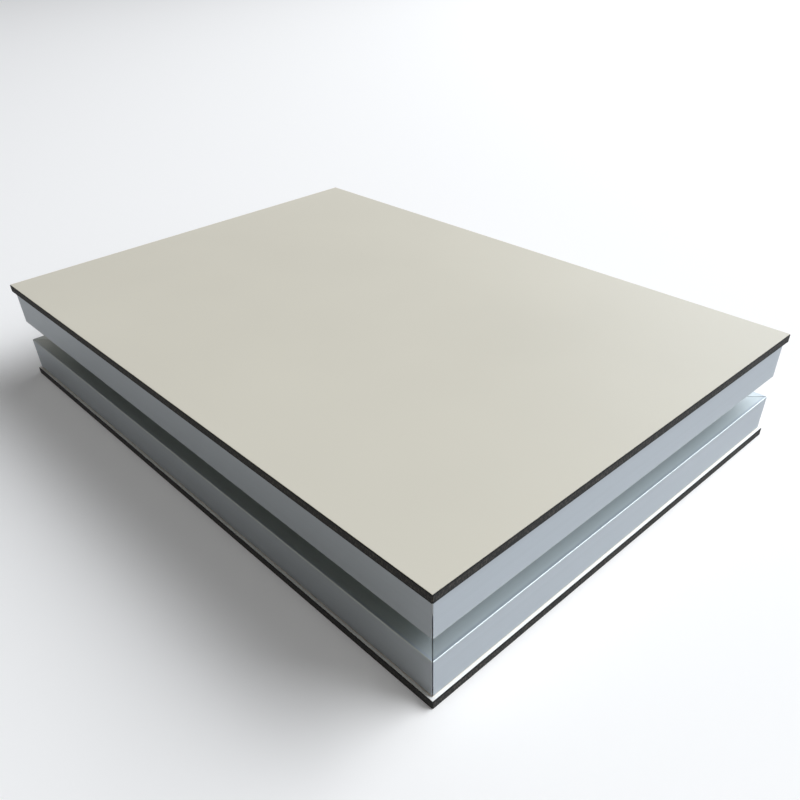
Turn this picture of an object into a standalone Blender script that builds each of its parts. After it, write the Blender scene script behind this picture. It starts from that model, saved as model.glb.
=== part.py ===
"""Cleanroom sandwich panel, as a small finished sample.

Two compact laminate boards are bonded to a mitred frame of extruded aluminium, over an expanded honeycomb
core. The frame has a groove all round, between an upper and a lower flange, for the spline that joins two
panels.

Units are metres. X runs along the length, Y along the width and Z up. The origin is under the centre of the
bottom board, in the plane that the panel lies on.
"""

import math

import bmesh
import bpy
from mathutils import Matrix, Vector

MM = 0.001

# Compact laminate boards
PANEL_LENGTH = 297.0 * MM
PANEL_WIDTH = 210.0 * MM
BOARD_THICKNESS = 3.7 * MM
BOARD_OVERHANG = 1.3 * MM
BOARD_ARRIS = 0.25 * MM
BOND_LINE = 0.3 * MM

# Extruded edge profile, as a section
FLANGE_HEIGHT = 16.15 * MM
GROOVE_OPENING = 10.0 * MM
GROOVE_DEPTH = 15.0 * MM
WEB_WALL = 2.0 * MM
FLANGE_BEHIND_WEB = 8.0 * MM
FLANGE_WALL = 1.5 * MM
OUTER_ARRIS = 0.3 * MM
GROOVE_FILLET = 0.4 * MM
CHAMBER_FILLET = 0.3 * MM

# Mitre joints
MITRE_GAP = 0.3 * MM
MITRE_DEBURR = 0.12 * MM

# Corner keys, pushed into the flange chambers
KEY_CLEARANCE = 0.25 * MM
KEY_LEG = 32.0 * MM
KEY_WALL = 3.2 * MM
KEY_END_WALL = 4.0 * MM
KEY_POCKET_RADIUS = 2.0 * MM
KEY_LEAD_IN = 1.5 * MM
BARB_PITCH = 4.0 * MM
BARB_DEPTH = 0.6 * MM

# Honeycomb core
CELL_EDGE = 10.0 * MM
FOIL = 0.1 * MM
CORE_CLEARANCE = 0.3 * MM

# How finely round corners are divided, and the angle up to which faces are shaded as one smooth surface
BOARD_ARRIS_STEPS = 2
ARRIS_STEPS = 4
FILLET_STEPS = 2
SMOOTH_ANGLE = math.radians(35)

# Sizes that follow from those above
PROFILE_DEPTH = GROOVE_DEPTH + WEB_WALL + FLANGE_BEHIND_WEB
FRAME_LENGTH = PANEL_LENGTH - 2 * BOARD_OVERHANG
FRAME_WIDTH = PANEL_WIDTH - 2 * BOARD_OVERHANG
FRAME_HEIGHT = 2 * FLANGE_HEIGHT + GROOVE_OPENING
FRAME_BASE = BOARD_THICKNESS + BOND_LINE
FRAME_TOP = FRAME_BASE + FRAME_HEIGHT
TOP_BOARD_BASE = FRAME_TOP + BOND_LINE
UPPER_FLANGE = FLANGE_HEIGHT + GROOVE_OPENING
KEY_SETBACK = FLANGE_WALL + KEY_CLEARANCE + CHAMBER_FILLET * (1 - math.sqrt(0.5))
KEY_HEIGHT = FLANGE_HEIGHT - 2 * KEY_SETBACK
KEY_INNER_EDGE = PROFILE_DEPTH - KEY_SETBACK
CELL_INRADIUS = CELL_EDGE * math.sqrt(3) / 2
CELL_COLUMN_STEP = CELL_EDGE * 3 / 2
CELL_SLOPE = math.radians(30)

# Base Color, Roughness and Metallic of each finish
FINISHES = {
    "laminate_cream": ((0.62, 0.60, 0.52, 1.0), 0.42, 0.0),
    "laminate_core": ((0.018, 0.018, 0.016, 1.0), 0.5, 0.0),
    "anodised_aluminium": ((0.66, 0.69, 0.72, 1.0), 0.38, 1.0),
    "mill_aluminium": ((0.72, 0.73, 0.74, 1.0), 0.45, 1.0),
    "aluminium_foil": ((0.78, 0.78, 0.79, 1.0), 0.3, 1.0),
}


def clear_scene():
    for old in list(bpy.data.objects):
        bpy.data.objects.remove(old, do_unlink=True)


def material(name):
    """One of the finishes, as a Principled material."""
    colour, roughness, metallic = FINISHES[name]
    made = bpy.data.materials.new(name)
    made.use_nodes = True
    shader = made.node_tree.nodes["Principled BSDF"]
    shader.inputs["Base Color"].default_value = colour
    shader.inputs["Roughness"].default_value = roughness
    shader.inputs["Metallic"].default_value = metallic
    made.diffuse_color = colour
    return made


def add_object(name, mesh):
    made = bpy.data.objects.new(name, mesh)
    bpy.context.scene.collection.objects.link(made)
    return made


def add_helper(name, mesh):
    """An object that only shapes others, and is never part of the panel."""
    made = add_object(name, mesh)
    made.hide_render = True
    made.display_type = "WIRE"
    return made


def shade(mesh):
    """Shades round corners smooth and leaves the rest flat."""
    mesh.shade_smooth()
    mesh.set_sharp_from_angle(angle=SMOOTH_ANGLE)


def finish_mesh(name, shape, *materials):
    """Turns a bmesh into a mesh with its faces out."""
    bmesh.ops.recalc_face_normals(shape, faces=shape.faces)
    mesh = bpy.data.meshes.new(name)
    shape.to_mesh(mesh)
    shape.free()
    for each in materials:
        mesh.materials.append(each)
    shade(mesh)
    return mesh


def evaluated_mesh(source, name, finish):
    """The mesh that an object has once its modifiers are run."""
    bpy.context.view_layer.update()
    graph = bpy.context.evaluated_depsgraph_get()
    mesh = bpy.data.meshes.new_from_object(source.evaluated_get(graph))
    mesh.name = name
    mesh.materials.clear()
    mesh.materials.append(finish)
    shade(mesh)
    return mesh


def rounded(corners, steps):
    """An outline with each (x, y, radius) corner turned into an arc."""
    outline = []
    for index, (x, y, radius) in enumerate(corners):
        corner = Vector((x, y))
        before = (Vector(corners[index - 1][:2]) - corner).normalized()
        after = (Vector(corners[(index + 1) % len(corners)][:2]) - corner).normalized()
        half_angle = before.angle(after) / 2
        centre = corner + (before + after).normalized() * radius / math.sin(half_angle)
        start = corner + before * radius / math.tan(half_angle) - centre
        end = corner + after * radius / math.tan(half_angle) - centre
        turn = start.angle_signed(end)
        for step in range(steps + 1):
            outline.append(centre + start @ Matrix.Rotation(turn * step / steps, 2))
    return outline


def rectangle(low_x, low_y, high_x, high_y):
    return [(low_x, low_y), (high_x, low_y), (high_x, high_y), (low_x, high_y)]


def rounded_rectangle(low_x, low_y, high_x, high_y, radius):
    corners = [(x, y, radius) for x, y in rectangle(low_x, low_y, high_x, high_y)]
    return rounded(corners, FILLET_STEPS)


def centred_plan(length, width):
    return rectangle(-length / 2, -width / 2, length / 2, width / 2)


def add_prism(shape, outline, low, high):
    """Adds a closed prism to shape and returns its ends. low and high place an outline point at each end."""
    rings = [[shape.verts.new(place(x, y)) for x, y in outline] for place in (low, high)]
    for index in range(len(outline)):
        shape.faces.new((rings[0][index - 1], rings[0][index], rings[1][index], rings[1][index - 1]))
    return [shape.faces.new(ring) for ring in rings]


def upright_prism(outlines, low_z, high_z):
    """A shape with one vertical prism for each outline."""
    shape = bmesh.new()
    for outline in outlines:
        add_prism(shape, outline, lambda x, y: (x, y, low_z), lambda x, y: (x, y, high_z))
    return shape


def cut(body, name, shape):
    """Cuts shape out of body, and returns the helper that does it."""
    tool = add_helper(name, finish_mesh(name, shape))
    boolean = body.modifiers.new(name, "BOOLEAN")
    boolean.operation = "DIFFERENCE"
    boolean.solver = "EXACT"
    boolean.object = tool
    return tool


def laminate_board(name, base, face, edge):
    """One pressed board: decor on both faces, and its dark core showing at the sawn edge."""
    shape = upright_prism([centred_plan(PANEL_LENGTH, PANEL_WIDTH)], base, base + BOARD_THICKNESS)
    arrises = shape.edges[:]
    bmesh.ops.bevel(shape, geom=arrises, offset=BOARD_ARRIS, segments=BOARD_ARRIS_STEPS, affect="EDGES")
    bmesh.ops.recalc_face_normals(shape, faces=shape.faces)
    for side in shape.faces:
        decor = abs(side.normal.z) > math.cos(SMOOTH_ANGLE)
        side.material_index = 0 if decor else 1
    add_object(name, finish_mesh(name, shape, face, edge))


def profile_outline():
    """The profile's section, as depth in from its outer face and height above the frame's underside."""
    web_back = GROOVE_DEPTH + WEB_WALL
    return rounded(
        [
            (0, 0, OUTER_ARRIS),
            (PROFILE_DEPTH, 0, OUTER_ARRIS),
            (PROFILE_DEPTH, FLANGE_HEIGHT, OUTER_ARRIS),
            (web_back, FLANGE_HEIGHT, GROOVE_FILLET),
            (web_back, UPPER_FLANGE, GROOVE_FILLET),
            (PROFILE_DEPTH, UPPER_FLANGE, OUTER_ARRIS),
            (PROFILE_DEPTH, FRAME_HEIGHT, OUTER_ARRIS),
            (0, FRAME_HEIGHT, OUTER_ARRIS),
            (0, UPPER_FLANGE, OUTER_ARRIS),
            (GROOVE_DEPTH, UPPER_FLANGE, GROOVE_FILLET),
            (GROOVE_DEPTH, FLANGE_HEIGHT, GROOVE_FILLET),
            (0, FLANGE_HEIGHT, OUTER_ARRIS),
        ],
        ARRIS_STEPS,
    )


def chamber_outline(flange_base):
    """The hollow inside one flange of the profile."""
    inner = PROFILE_DEPTH - FLANGE_WALL
    top = flange_base + FLANGE_HEIGHT - FLANGE_WALL
    return rounded_rectangle(FLANGE_WALL, flange_base + FLANGE_WALL, inner, top, CHAMBER_FILLET)


def edge_profile(name, run, degrees, outward, finish):
    """One length of profile, mitred at both ends, with its outer face at distance outward from the centre."""
    half_run = run / 2
    half_gap = MITRE_GAP / 2 * math.sqrt(2)
    shape = bmesh.new()
    caps = add_prism(
        shape,
        profile_outline(),
        lambda depth, height: (depth + half_gap - half_run, depth, height),
        lambda depth, height: (half_run - half_gap - depth, depth, height),
    )
    sawn = [edge for cap in caps for edge in cap.edges]
    bmesh.ops.bevel(shape, geom=sawn, offset=MITRE_DEBURR, segments=1, affect="EDGES")
    profile = add_object(name, finish_mesh(name, shape, finish))

    for level, flange_base in (("lower", 0), ("upper", UPPER_FLANGE)):
        chamber = bmesh.new()
        add_prism(
            chamber,
            chamber_outline(flange_base),
            lambda depth, height: (-half_run, depth, height),
            lambda depth, height: (half_run, depth, height),
        )
        cut(profile, f"cut_{name}_{level}", chamber).parent = profile

    turn = math.radians(degrees)
    profile.rotation_euler.z = turn
    profile.location = Matrix.Rotation(turn, 3, "Z") @ Vector((0, -outward, FRAME_BASE))


def barbed_edge(root, inward):
    """One long edge of a key's leg, from heel to end. Each barb slopes in towards the end of the leg."""
    first = KEY_INNER_EDGE + BARB_PITCH
    last = KEY_INNER_EDGE + KEY_LEG - KEY_LEAD_IN
    count = max(1, round((last - first) / BARB_PITCH))
    pitch = (last - first) / count
    points = []
    for barb in range(count):
        points.append((first + barb * pitch, root))
        points.append((first + (barb + 1) * pitch, root + inward * BARB_DEPTH))
    return points


def key_outline():
    """Plan of a corner key, from the frame's outer corner: two barbed legs at a right angle."""
    reach = KEY_INNER_EDGE + KEY_LEG
    tip = [(reach, KEY_SETBACK + KEY_LEAD_IN), (reach, KEY_INNER_EDGE - KEY_LEAD_IN)]
    leg = barbed_edge(KEY_SETBACK, 1) + tip + barbed_edge(KEY_INNER_EDGE, -1)[::-1]
    other_leg = [(y, x) for x, y in leg[::-1]]
    return [(KEY_SETBACK, KEY_SETBACK)] + leg + [(KEY_INNER_EDGE, KEY_INNER_EDGE)] + other_leg


def key_pockets():
    """The through pockets that lighten a key: one in the heel and one in each leg."""
    near = KEY_SETBACK + KEY_WALL
    far = KEY_INNER_EDGE - KEY_WALL
    start = KEY_INNER_EDGE + KEY_WALL
    end = KEY_INNER_EDGE + KEY_LEG - KEY_END_WALL
    heel = rounded_rectangle(near, near, far, far, KEY_POCKET_RADIUS)
    leg = rounded_rectangle(start, near, end, far, KEY_POCKET_RADIUS)
    other_leg = rounded_rectangle(near, start, far, end, KEY_POCKET_RADIUS)
    return [heel, leg, other_leg]


def key_mesh(finish):
    """One corner key, with its underside at height 0 and the frame's outer corner at the origin."""
    blank = add_helper("key_blank", finish_mesh("key_blank", upright_prism([key_outline()], 0, KEY_HEIGHT)))
    cut(blank, "cut_key_pockets", upright_prism(key_pockets(), -KEY_HEIGHT, 2 * KEY_HEIGHT))
    return evaluated_mesh(blank, "corner_key", finish)


def corner_keys(finish):
    """A key in the upper and the lower chamber at each corner of the frame."""
    mesh = key_mesh(finish)
    corners = (("front_left", 0), ("front_right", 90), ("back_right", 180), ("back_left", 270))
    levels = (("lower", FRAME_BASE), ("upper", FRAME_BASE + UPPER_FLANGE))
    for corner, degrees in corners:
        turn = math.radians(degrees)
        side = Matrix.Rotation(turn, 3, "Z") @ Vector((-1, -1, 0))
        for level, flange_base in levels:
            key = add_object(f"key_{level}_{corner}", mesh)
            key.rotation_euler.z = turn
            key.location.x = side.x * FRAME_LENGTH / 2
            key.location.y = side.y * FRAME_WIDTH / 2
            key.location.z = flange_base + KEY_SETBACK


def cell_outline(centre_x, centre_y):
    """The opening of one cell. Its walls along X are two foils thick, because the strips are glued there."""
    to_glued_wall = CELL_INRADIUS - FOIL
    to_single_wall = CELL_INRADIUS - FOIL / 2
    tip = to_single_wall / math.cos(CELL_SLOPE)
    shoulder = (to_single_wall - to_glued_wall * math.sin(CELL_SLOPE)) / math.cos(CELL_SLOPE)
    right = [(shoulder, -to_glued_wall), (tip, 0), (shoulder, to_glued_wall)]
    left = [(-x, -y) for x, y in right]
    return [(centre_x + x, centre_y + y) for x, y in right + left]


def cell_centres(length, width):
    """The centre of every cell that reaches into a rectangle. Odd columns sit half a cell up."""
    row_step = 2 * CELL_INRADIUS
    columns = math.ceil(length / 2 / CELL_COLUMN_STEP) + 1
    rows = math.ceil(width / 2 / row_step) + 1
    for column in range(-columns, columns + 1):
        for row in range(-rows, rows + 1):
            x = column * CELL_COLUMN_STEP
            y = row * row_step + (column % 2) * CELL_INRADIUS
            if abs(x) < length / 2 + CELL_EDGE and abs(y) < width / 2 + CELL_INRADIUS:
                yield x, y


def keep_largest_piece(mesh):
    """Drops the offcuts that a saw leaves loose at the slab's corners."""
    shape = bmesh.new()
    shape.from_mesh(mesh)
    waiting = set(shape.verts)
    pieces = []
    while waiting:
        piece = set()
        front = [waiting.pop()]
        while front:
            vert = front.pop()
            piece.add(vert)
            linked = {edge.other_vert(vert) for edge in vert.link_edges} & waiting
            waiting -= linked
            front.extend(linked)
        pieces.append(piece)
    pieces.sort(key=len)
    for offcut in pieces[:-1]:
        bmesh.ops.delete(shape, geom=list(offcut), context="VERTS")
    shape.to_mesh(mesh)
    shape.free()


def honeycomb_core(finish):
    """The expanded slab, sawn to fit inside the frame, with its cells running from board to board."""
    length = FRAME_LENGTH - 2 * (PROFILE_DEPTH + CORE_CLEARANCE)
    width = FRAME_WIDTH - 2 * (PROFILE_DEPTH + CORE_CLEARANCE)
    slab_shape = upright_prism([centred_plan(length, width)], FRAME_BASE, FRAME_TOP)
    slab = add_helper("slab", finish_mesh("slab", slab_shape))
    cells = [cell_outline(x, y) for x, y in cell_centres(length, width)]
    cut(slab, "cut_cells", upright_prism(cells, FRAME_BASE - FRAME_HEIGHT, FRAME_TOP + FRAME_HEIGHT))
    mesh = evaluated_mesh(slab, "core", finish)
    keep_largest_piece(mesh)
    add_object("core", mesh)


def build_panel():
    clear_scene()
    cream = material("laminate_cream")
    black = material("laminate_core")
    laminate_board("bottom_facing", 0, cream, black)
    laminate_board("top_facing", TOP_BOARD_BASE, cream, black)

    anodised = material("anodised_aluminium")
    edge_profile("frame_front", FRAME_LENGTH, 0, FRAME_WIDTH / 2, anodised)
    edge_profile("frame_right", FRAME_WIDTH, 90, FRAME_LENGTH / 2, anodised)
    edge_profile("frame_back", FRAME_LENGTH, 180, FRAME_WIDTH / 2, anodised)
    edge_profile("frame_left", FRAME_WIDTH, 270, FRAME_LENGTH / 2, anodised)

    corner_keys(material("mill_aluminium"))
    honeycomb_core(material("aluminium_foil"))


build_panel()
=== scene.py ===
"""Looks of the cleanroom sandwich panel: the finishes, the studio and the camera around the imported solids.

Units are metres, in the part's own frame: X along the length, Y along the width, Z up from the floor that
the panel lies on.
"""

import math

import bmesh
import bpy
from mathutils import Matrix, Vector


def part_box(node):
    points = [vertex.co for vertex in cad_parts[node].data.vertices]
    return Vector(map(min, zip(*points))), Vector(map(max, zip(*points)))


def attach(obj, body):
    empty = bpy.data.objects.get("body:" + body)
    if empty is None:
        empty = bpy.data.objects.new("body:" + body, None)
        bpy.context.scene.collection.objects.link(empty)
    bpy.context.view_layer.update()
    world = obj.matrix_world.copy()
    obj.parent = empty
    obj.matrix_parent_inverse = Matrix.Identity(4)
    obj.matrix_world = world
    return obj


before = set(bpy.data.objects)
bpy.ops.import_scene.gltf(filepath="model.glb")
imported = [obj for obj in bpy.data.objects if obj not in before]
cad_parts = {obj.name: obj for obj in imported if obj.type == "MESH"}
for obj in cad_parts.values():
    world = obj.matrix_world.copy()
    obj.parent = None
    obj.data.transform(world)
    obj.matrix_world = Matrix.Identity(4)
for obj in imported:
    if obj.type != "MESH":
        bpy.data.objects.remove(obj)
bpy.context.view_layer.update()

MM = 0.001

# Camera, from a fit to the panel's edges in the photograph
CAMERA_PLACE = (249.53 * MM, -206.24 * MM, 200.36 * MM)
CAMERA_TURN = (52.800, 1.636, 46.916)
CAMERA_LENS = 34.385
CAMERA_SHIFT = (0.0025, 0.0906)
CAMERA_CLIP_START = 1 * MM
CAMERA_CLIP_END = 21.0

# The values between which a noise turns from one tone to the other
NOISE_RANGE = (0.3, 0.7)

# Laminate. Scales are of noise, along X, Y and Z, and a bump is a strength and a distance
DECOR_THICKNESS = 0.12 * MM
DECOR_FADE = 1.3
CREAM = (0.700, 0.628, 0.490)
CREAM_SPREAD = 0.03
CREAM_GRAIN = 0.35
# Painted light: the inside face, which shows as a brightly lit strip by the frame, is painted paler
CREAM_INSIDE_PAINTED_LIGHT = (0.97, 0.92, 0.83)
CORE_BLACK = (0.001, 0.001, 0.001)
CORE_FIBRE = (0.060, 0.052, 0.042)
FIBRE_DEPTH = (0.4 * MM, 1.1 * MM)
FIBRE_RANGE = (0.48, 0.62)
CLOUD_SCALE = (9.0, 9.0, 9.0)
GRAIN_SCALE = (1600.0, 1600.0, 1600.0)
LAYER_SCALE = (60.0, 60.0, 5200.0)
LAYER_SHARE = 0.35
SAWN_SCALE = (1400.0, 1400.0, 700.0)
GRAIN_RELIEF = 0.1
LAMINATE_BUMP = (0.7, 0.1 * MM)
LAMINATE_ROUGHNESS = 0.46
ROUGHNESS_SPREAD = 0.04
CORE_ROUGHENING = 0.35
LAMINATE_SPECULAR = 0.42

# Anodised aluminium. Each groove has a share, GROOVE_PAINT_SHARE, of painted light in a colour of its own:
# GROOVE_PAINTED_LIGHT on the short sides and GROOVE_PAINTED_SHADE, duller as painted shade, on the long
# ones, after the shading in the photograph. LIP_HIGHLIGHT_SHARE paints a highlight on the lips of the
# groove. GROOVE_MIDDLE and GROOVE_HALF are its middle height and half its opening.
# LINE_SCALE and BAND_SCALE are along and across the die lines
ANODISED_DARK = (0.400, 0.435, 0.467)
ANODISED_LIGHT = (0.425, 0.462, 0.495)
ANODISED_METALLIC = 0.46
ANODISED_ANISOTROPY = 0.35
ANODISED_ROUGHNESS = (0.43, 0.50)
GROOVE_PAINTED_LIGHT = (0.87, 0.92, 0.81)
GROOVE_PAINTED_SHADE = (0.58, 0.60, 0.46)
GROOVE_PAINT_SHARE = 0.26
GROOVE_MIDDLE = 25.15 * MM
GROOVE_HALF = 5.0 * MM
GROOVE_START = (0.6 * MM, 1.4 * MM)
# Painted highlight on the lips of the groove
LIP_HIGHLIGHT_SHARE = 0.35
LIP_REACH = (0.4 * MM, 0.25 * MM)
LINE_SCALE = (5.0, 3200.0)
BAND_SCALE = (2.0, 3200.0 / 6)
TONE_RANGE = (0.35, 0.65)
ETCH_SCALE = (2800.0, 2800.0, 2800.0)
ETCH_RELIEF = 0.4
ANODISED_BUMP = (0.18, 0.02 * MM)

# Bare aluminium and adhesive
KEY_COLOUR = (0.72, 0.73, 0.74)
KEY_ROUGHNESS = 0.45
KEY_GRAIN = (400.0, 400.0, 3000.0)
FOIL_COLOUR = (0.78, 0.78, 0.79)
FOIL_ROUGHNESS = 0.3
FOIL_GRAIN = (900.0, 900.0, 60.0)
MILL_DULLING = 0.86
MILL_SPREAD = 0.06
MILL_BUMP = (0.2, 0.02 * MM)
LUMP_SCALE = (700.0, 700.0, 700.0)
LUMP_DULLING = 0.92
LUMP_ROUGHNESS = (0.42, 0.52)
LUMP_BUMP = (0.3, 0.03 * MM)

# The adhesive bead between each board and the frame
BEAD_RECESS = 0.12 * MM
BEAD_WIDTH = 2.0 * MM
BEAD_BULGE = 0.04 * MM
BEAD_CLEARANCE = 0.01 * MM
BEAD_STEPS = 4
BEAD_COLOUR = (0.62, 0.50, 0.36)

# The filler that closes the top of each mitre
FILLER_HEIGHT = (-6.0 * MM, -0.3 * MM)
FILLER_DEPTH = (0.17 * MM, 1.4 * MM)
FILLER_WIDTH = 0.28 * MM
FILLER_COLOUR = (0.42, 0.44, 0.45)

# Floor and backdrop. The camera and reflections see the floor as FLOOR_PALE, with FLOOR_GLOW of it plain
# white, and soft light leaves it as FLOOR_SOFT
FLOOR_SIZE = 7.0
FLOOR_SOFT = (0.67, 0.575, 0.44)
FLOOR_PALE = (1.05, 0.98, 0.89)
FLOOR_GLOW = 0.14
BACKDROP_DIM = (0.57, 0.54, 0.50)
BACKDROP_BRIGHT = (0.94, 0.98, 1.00)
BACKDROP_RANGE = (-0.6, 0.4)

# Soft light from the sky. It grows towards one side, which is given as an azimuth and an elevation
SKY_AZIMUTH = 26.0
SKY_ELEVATION = -2.0
SKY_BRIGHT = (0.81, 0.885, 1.00)
SKY_DIM = (0.0, 0.0, 0.0)
SKY_RANGE = (0.23, 0.63)

LAMPS = {
    "key": {
        "azimuth": 57.5,
        "elevation": 42.0,
        "distance": 3.8,
        "size": (4.05, 2.15),
        "power": 182.0,
        "colour": (0.915, 1.0, 1.13),
    },
    "window": {
        "azimuth": 102.0,
        "elevation": 24.0,
        "distance": 3.0,
        "size": (1.8, 1.0),
        "power": 10.6,
        "colour": (0.915, 1.0, 1.13),
    },
}

# The panel's corners, in order round it, as the signs of X and Y
CORNERS = ((-1, -1), (1, -1), (1, 1), (-1, 1))


class Nodes:
    """The node tree of one material or world, built a node at a time."""

    def __init__(self, owner):
        owner.use_nodes = True
        self.tree = owner.node_tree
        self.tree.nodes.clear()

    def feed(self, socket, value):
        """Gives an input its value, which may be another node's output socket."""
        if isinstance(value, bpy.types.NodeSocket):
            self.tree.links.new(value, socket)
        else:
            socket.default_value = value

    def add(self, kind, **inputs):
        node = self.tree.nodes.new(kind)
        for key, value in inputs.items():
            self.feed(node.inputs[key.replace("_", " ")], value)
        return node

    def math(self, operation, first, second=0.0):
        node = self.tree.nodes.new("ShaderNodeMath")
        node.operation = operation
        for socket, value in zip(node.inputs, (first, second)):
            self.feed(socket, value)
        return node.outputs["Value"]

    def mix(self, factor, first, second):
        """A colour between first and second."""
        node = self.tree.nodes.new("ShaderNodeMix")
        node.data_type = "RGBA"
        for name, value in (("Factor_Float", factor), ("A_Color", first), ("B_Color", second)):
            socket = next(each for each in node.inputs if each.identifier == name)
            self.feed(socket, (*value, 1.0) if isinstance(value, tuple) else value)
        return next(each for each in node.outputs if each.identifier == "Result_Color")

    def place(self, scale=(1.0, 1.0, 1.0)):
        """The point on the part, in metres, stretched by scale."""
        point = self.tree.nodes.new("ShaderNodeTexCoord").outputs["Object"]
        mapping = self.add("ShaderNodeMapping", Vector=point, Scale=scale)
        return mapping.outputs["Vector"]

    def noise(self, scale, detail=2.0, roughness=0.5):
        """Noise with features of about 1 / scale metres along each axis."""
        settings = {"Scale": 1.0, "Detail": detail, "Roughness": roughness}
        return self.add("ShaderNodeTexNoise", Vector=self.place(scale), **settings).outputs["Fac"]

    def ramp(self, value, low, high, to_low=0.0, to_high=1.0):
        """Runs from to_low, where value is low, to to_high, where it is high, and stays level outside."""
        limits = {"From_Min": low, "From_Max": high, "To_Min": to_low, "To_Max": to_high}
        return self.add("ShaderNodeMapRange", Value=value, **limits).outputs["Result"]

    def bump(self, height, strength, distance):
        node = self.add("ShaderNodeBump", Height=height, Strength=strength, Distance=distance)
        return node.outputs["Normal"]

    def seen(self):
        """1 for rays from the camera, in a reflection or through glass, and 0 for soft light."""
        path = self.tree.nodes.new("ShaderNodeLightPath").outputs
        reflected = self.math("MAXIMUM", path["Is Glossy Ray"], path["Is Transmission Ray"])
        return self.math("MAXIMUM", path["Is Camera Ray"], reflected)


def material(name):
    made = bpy.data.materials.new(name)
    return made, Nodes(made)


def scaled(colour, factor):
    return tuple(channel * factor for channel in colour)


def laminate(name, node_name, inside):
    """Compact laminate: a cream decor layer over each face, and the black core at the sawn edge.

    The inside face, which looks towards the frame, is painted paler, as painted light on the strip of it
    that shows by the frame. inside is 1 when that face is the upper one, else -1.
    """
    made, nodes = material(name)
    low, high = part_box(node_name)
    middle = (low.z + high.z) / 2
    half = (high.z - low.z) / 2
    point = nodes.add("ShaderNodeSeparateXYZ", Vector=nodes.place()).outputs["Z"]
    height = nodes.math("SUBTRACT", point, middle)
    depth = nodes.math("SUBTRACT", half, nodes.math("ABSOLUTE", height))
    in_core = nodes.ramp(depth, DECOR_THICKNESS, DECOR_THICKNESS * DECOR_FADE)

    cloud = nodes.noise(CLOUD_SCALE, detail=3.0)
    grain = nodes.noise(GRAIN_SCALE)
    lighter = scaled(CREAM, 1 + CREAM_SPREAD)
    darker = scaled(CREAM, 1 - CREAM_SPREAD)
    cream = nodes.mix(nodes.ramp(cloud, *NOISE_RANGE), darker, lighter)
    cream = nodes.mix(nodes.ramp(grain, *NOISE_RANGE, 0.0, CREAM_GRAIN), cream, lighter)
    # Painted light: the inside face is painted paler
    on_inside = nodes.math("GREATER_THAN", nodes.math("MULTIPLY", height, inside))
    cream = nodes.mix(on_inside, cream, CREAM_INSIDE_PAINTED_LIGHT)

    layers = nodes.math("MULTIPLY", nodes.noise(LAYER_SCALE), LAYER_SHARE)
    sawn = nodes.noise(SAWN_SCALE, detail=3.0, roughness=0.7)
    fibre = nodes.math("ADD", layers, nodes.math("MULTIPLY", sawn, 1 - LAYER_SHARE))
    fibre = nodes.math("MULTIPLY", nodes.ramp(fibre, *FIBRE_RANGE), nodes.ramp(depth, *FIBRE_DEPTH))
    black = nodes.mix(fibre, CORE_BLACK, CORE_FIBRE)

    relief = nodes.math("MULTIPLY", sawn, in_core)
    relief = nodes.math("ADD", relief, nodes.math("MULTIPLY", grain, GRAIN_RELIEF))
    smoothest = LAMINATE_ROUGHNESS - ROUGHNESS_SPREAD
    roughest = LAMINATE_ROUGHNESS + ROUGHNESS_SPREAD
    roughness = nodes.ramp(grain, *NOISE_RANGE, smoothest, roughest)
    shader = nodes.add(
        "ShaderNodeBsdfPrincipled",
        Base_Color=nodes.mix(in_core, cream, black),
        Specular_IOR_Level=LAMINATE_SPECULAR,
        Roughness=nodes.math("ADD", roughness, nodes.math("MULTIPLY", in_core, CORE_ROUGHENING)),
        Normal=nodes.bump(relief, *LAMINATE_BUMP),
    )
    nodes.add("ShaderNodeOutputMaterial", Surface=shader.outputs["BSDF"])
    return made


def turned(scale, along):
    """A scale given along and across an axis, as one along X, Y and Z."""
    return tuple(scale[0] if axis == along else scale[1] for axis in "XYZ")


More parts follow.
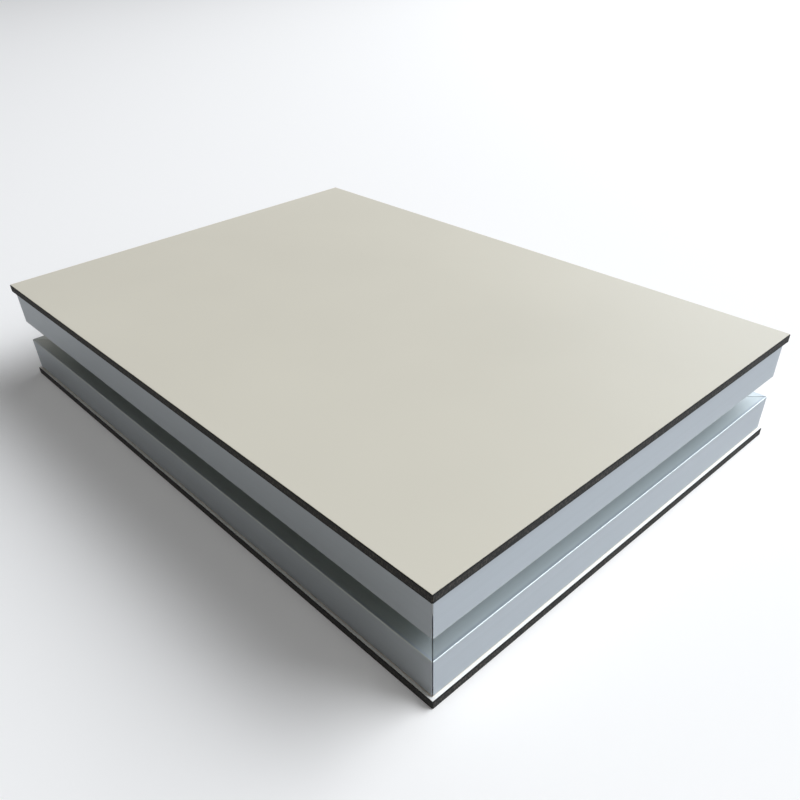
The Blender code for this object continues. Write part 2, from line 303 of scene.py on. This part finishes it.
def anodised(name, along, outer_face, groove):
    """Satin anodised extrusion. Its faint die lines run along the axis that along names.

    Behind the outer face, which is outer_face from the panel's middle, it has some of the groove colour as
    painted light, which is duller as painted shade on the long sides. The lips of the groove have it too, as
    a painted highlight.
    """
    made, nodes = material(name)
    point = nodes.add("ShaderNodeSeparateXYZ", Vector=nodes.place()).outputs
    outward = "Y" if along == "X" else "X"
    behind = nodes.math("SUBTRACT", outer_face, nodes.math("ABSOLUTE", point[outward]))
    in_groove = nodes.ramp(behind, *GROOVE_START)
    from_middle = nodes.math("ABSOLUTE", nodes.math("SUBTRACT", point["Z"], GROOVE_MIDDLE))
    from_lip = nodes.math("ABSOLUTE", nodes.math("SUBTRACT", from_middle, GROOVE_HALF))
    # The lips of the groove, where a highlight is painted
    lip_highlight = nodes.ramp(nodes.math("MAXIMUM", from_lip, behind), *LIP_REACH)

    lines = nodes.noise(turned(LINE_SCALE, along), detail=3.0, roughness=0.6)
    bands = nodes.noise(turned(BAND_SCALE, along))
    tone = nodes.math("ADD", nodes.math("MULTIPLY", lines, 0.5), nodes.math("MULTIPLY", bands, 0.5))
    colour = nodes.mix(nodes.ramp(tone, *TONE_RANGE), ANODISED_DARK, ANODISED_LIGHT)
    # Painted light in the groove, duller as painted shade on the long sides, and a painted highlight on its
    # lips
    painted_share = nodes.math("MULTIPLY", in_groove, GROOVE_PAINT_SHARE)
    painted_share = nodes.math("MAXIMUM", painted_share, nodes.math("MULTIPLY", lip_highlight, LIP_HIGHLIGHT_SHARE))
    colour = nodes.mix(painted_share, colour, groove)

    etch = nodes.noise(ETCH_SCALE, detail=1.0)
    relief = nodes.math("ADD", lines, nodes.math("MULTIPLY", etch, ETCH_RELIEF))
    run = nodes.add("ShaderNodeCombineXYZ", X=float(along == "X"), Y=float(along == "Y"))
    shader = nodes.add(
        "ShaderNodeBsdfPrincipled",
        Base_Color=colour,
        Metallic=ANODISED_METALLIC,
        Roughness=nodes.ramp(tone, *NOISE_RANGE, *ANODISED_ROUGHNESS),
        Anisotropic=ANODISED_ANISOTROPY,
        Tangent=run.outputs["Vector"],
        Normal=nodes.bump(relief, *ANODISED_BUMP),
    )
    nodes.add("ShaderNodeOutputMaterial", Surface=shader.outputs["BSDF"])
    return made


def mill_aluminium(name, colour, roughness, grain_scale):
    """Bare aluminium, with the fine grain of a rolled or sawn surface."""
    made, nodes = material(name)
    grain = nodes.noise(grain_scale, detail=3.0)
    tone = nodes.ramp(grain, *NOISE_RANGE)
    shader = nodes.add(
        "ShaderNodeBsdfPrincipled",
        Base_Color=nodes.mix(tone, scaled(colour, MILL_DULLING), colour),
        Metallic=1.0,
        Roughness=nodes.ramp(grain, *NOISE_RANGE, roughness - MILL_SPREAD, roughness + MILL_SPREAD),
        Normal=nodes.bump(grain, *MILL_BUMP),
    )
    nodes.add("ShaderNodeOutputMaterial", Surface=shader.outputs["BSDF"])
    return made


def adhesive(name, colour):
    """Cured adhesive, slightly uneven in tone and gloss."""
    made, nodes = material(name)
    lumps = nodes.noise(LUMP_SCALE, detail=3.0)
    tone = nodes.ramp(lumps, *NOISE_RANGE)
    shader = nodes.add(
        "ShaderNodeBsdfPrincipled",
        Base_Color=nodes.mix(tone, scaled(colour, LUMP_DULLING), colour),
        Roughness=nodes.ramp(lumps, *NOISE_RANGE, *LUMP_ROUGHNESS),
        Normal=nodes.bump(lumps, *LUMP_BUMP),
    )
    nodes.add("ShaderNodeOutputMaterial", Surface=shader.outputs["BSDF"])
    return made


def dress(node_name, finish):
    """Gives a node its finish, in every material slot it has."""
    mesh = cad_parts[node_name].data
    if not mesh.materials:
        mesh.materials.append(finish)
    for index in range(len(mesh.materials)):
        mesh.materials[index] = finish


def dress_panel():
    dress("top_facing", laminate("laminate_top", "top_facing", -1.0))
    dress("bottom_facing", laminate("laminate_bottom", "bottom_facing", 1.0))
    # The long sides get the duller groove colour as painted shade, the short sides the paler one as painted
    # light
    along_x = anodised("anodised_along_x", "X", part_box("frame_back")[1].y, GROOVE_PAINTED_SHADE)
    along_y = anodised("anodised_along_y", "Y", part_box("frame_right")[1].x, GROOVE_PAINTED_LIGHT)
    for side in ("front", "back"):
        dress(f"frame_{side}", along_x)
    for side in ("left", "right"):
        dress(f"frame_{side}", along_y)
    keys = mill_aluminium("corner_key_aluminium", KEY_COLOUR, KEY_ROUGHNESS, KEY_GRAIN)
    for node_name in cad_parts:
        if node_name.startswith("key_"):
            dress(node_name, keys)
    dress("core", mill_aluminium("core_foil", FOIL_COLOUR, FOIL_ROUGHNESS, FOIL_GRAIN))


def bead_section(low, high):
    """The bead's section, as depth in from the frame's outer face and height, with a bulging outer side."""
    section = []
    for step in range(BEAD_STEPS + 1):
        rise = step / BEAD_STEPS
        section.append((BEAD_RECESS + BEAD_BULGE * (2 * rise - 1) ** 2, low + (high - low) * rise))
    return section + [(BEAD_WIDTH, high), (BEAD_WIDTH, low)]


def add_piece(name, shape, finish):
    """Turns a closed bmesh into a piece of the panel."""
    bmesh.ops.recalc_face_normals(shape, faces=shape.faces)
    mesh = bpy.data.meshes.new(name)
    shape.to_mesh(mesh)
    shape.free()
    mesh.materials.append(finish)
    piece = bpy.data.objects.new(name, mesh)
    bpy.context.scene.collection.objects.link(piece)
    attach(piece, "root")


def run_bead(name, below, above, finish):
    """The bead of adhesive that fills the bond line all round the panel, between heights below and above."""
    half_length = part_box("frame_right")[1].x
    half_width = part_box("frame_back")[1].y
    section = bead_section(below + BEAD_CLEARANCE, above - BEAD_CLEARANCE)
    shape = bmesh.new()
    rings = []
    for side_x, side_y in CORNERS:
        places = [
            (side_x * (half_length - depth), side_y * (half_width - depth), z) for depth, z in section
        ]
        rings.append([shape.verts.new(place) for place in places])
    for corner, ring in enumerate(rings):
        before = rings[corner - 1]
        for index in range(len(section)):
            shape.faces.new((before[index - 1], before[index], ring[index], ring[index - 1]))
    add_piece(name, shape, finish)


def run_beads():
    finish = adhesive("bond_adhesive", BEAD_COLOUR)
    frame_low, frame_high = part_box("frame_front")
    run_bead("bond_line_lower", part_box("bottom_facing")[1].z, frame_low.z, finish)
    run_bead("bond_line_upper", frame_high.z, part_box("top_facing")[0].z, finish)


def fill_mitres():
    """Fills the gap at the top of each mitre, as the joints are closed there and open further down."""
    half_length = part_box("frame_right")[1].x
    half_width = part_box("frame_back")[1].y
    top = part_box("frame_front")[1].z
    low, high = [top + height for height in FILLER_HEIGHT]
    finish = adhesive("mitre_filler", FILLER_COLOUR)
    for number, (side_x, side_y) in enumerate(CORNERS, 1):
        inward = Vector((-side_x, -side_y, 0)).normalized()
        across = inward.cross(Vector((0, 0, 1))) * FILLER_WIDTH / 2
        corner = Vector((side_x * half_length, side_y * half_width, 0))
        near, far = [corner + inward * depth for depth in FILLER_DEPTH]
        shape = bmesh.new()
        for z in (low, high):
            for place in (near - across, near + across, far + across, far - across):
                shape.verts.new(place + Vector((0, 0, z)))
        bmesh.ops.convex_hull(shape, input=shape.verts)
        add_piece(f"mitre_filler_{number}", shape, finish)


def lay_floor():
    half = FLOOR_SIZE / 2
    mesh = bpy.data.meshes.new("floor")
    corners = [(side_x * half, side_y * half, 0) for side_x, side_y in CORNERS]
    mesh.from_pydata(corners, [], [(0, 1, 2, 3)])
    floor = bpy.data.objects.new("floor", mesh)
    bpy.context.scene.collection.objects.link(floor)
    made, nodes = material("floor_matte")
    seen = nodes.seen()
    matte = nodes.add("ShaderNodeBsdfDiffuse", Color=nodes.mix(seen, FLOOR_SOFT, FLOOR_PALE))
    white = nodes.add("ShaderNodeEmission", Color=(1.0, 1.0, 1.0, 1.0), Strength=1.0)
    shader = nodes.add("ShaderNodeMixShader", Fac=nodes.math("MULTIPLY", seen, FLOOR_GLOW))
    nodes.tree.links.new(matte.outputs["BSDF"], shader.inputs[1])
    nodes.tree.links.new(white.outputs["Emission"], shader.inputs[2])
    nodes.add("ShaderNodeOutputMaterial", Surface=shader.outputs["Shader"])
    mesh.materials.append(made)


def toward(azimuth, elevation):
    """The unit vector to an azimuth, counted from +X towards +Y, and an elevation, in degrees."""
    turn, rise = math.radians(azimuth), math.radians(elevation)
    return Vector((math.cos(turn) * math.cos(rise), math.sin(turn) * math.cos(rise), math.sin(rise)))


def hang_lamp(name, azimuth, elevation, distance, size, power, colour):
    """A soft rectangular lamp that faces the panel."""
    data = bpy.data.lights.new(name, "AREA")
    data.shape = "RECTANGLE"
    data.size, data.size_y = size
    data.energy = power
    data.color = colour
    lamp = bpy.data.objects.new(name, data)
    direction = toward(azimuth, elevation)
    lamp.location = direction * distance
    lamp.rotation_euler = direction.to_track_quat("Z", "Y").to_euler()
    bpy.context.scene.collection.objects.link(lamp)


def light_studio():
    for name, lamp in LAMPS.items():
        hang_lamp(name, **lamp)
    world = bpy.data.worlds.new("studio")
    bpy.context.scene.world = world
    nodes = Nodes(world)
    dot = nodes.add("ShaderNodeVectorMath")
    dot.operation = "DOT_PRODUCT"
    nodes.tree.links.new(nodes.add("ShaderNodeTexCoord").outputs["Generated"], dot.inputs[0])
    dot.inputs[1].default_value = toward(SKY_AZIMUTH, SKY_ELEVATION)
    side = dot.outputs["Value"]
    light = nodes.mix(nodes.ramp(side, *SKY_RANGE), SKY_DIM, SKY_BRIGHT)
    backdrop = nodes.mix(nodes.ramp(side, *BACKDROP_RANGE), BACKDROP_DIM, BACKDROP_BRIGHT)
    sky = nodes.add("ShaderNodeBackground", Color=nodes.mix(nodes.seen(), light, backdrop))
    nodes.add("ShaderNodeOutputWorld", Surface=sky.outputs["Background"])


def set_camera():
    data = bpy.data.cameras.new("camera")
    data.lens = CAMERA_LENS
    data.shift_x, data.shift_y = CAMERA_SHIFT
    data.clip_start = CAMERA_CLIP_START
    data.clip_end = CAMERA_CLIP_END
    camera = bpy.data.objects.new("camera", data)
    camera.location = CAMERA_PLACE
    camera.rotation_euler = [math.radians(angle) for angle in CAMERA_TURN]
    bpy.context.scene.collection.objects.link(camera)
    bpy.context.scene.camera = camera


bpy.context.scene.view_settings.view_transform = "Standard"
set_camera()
dress_panel()
run_beads()
fill_mitres()
lay_floor()
light_studio()
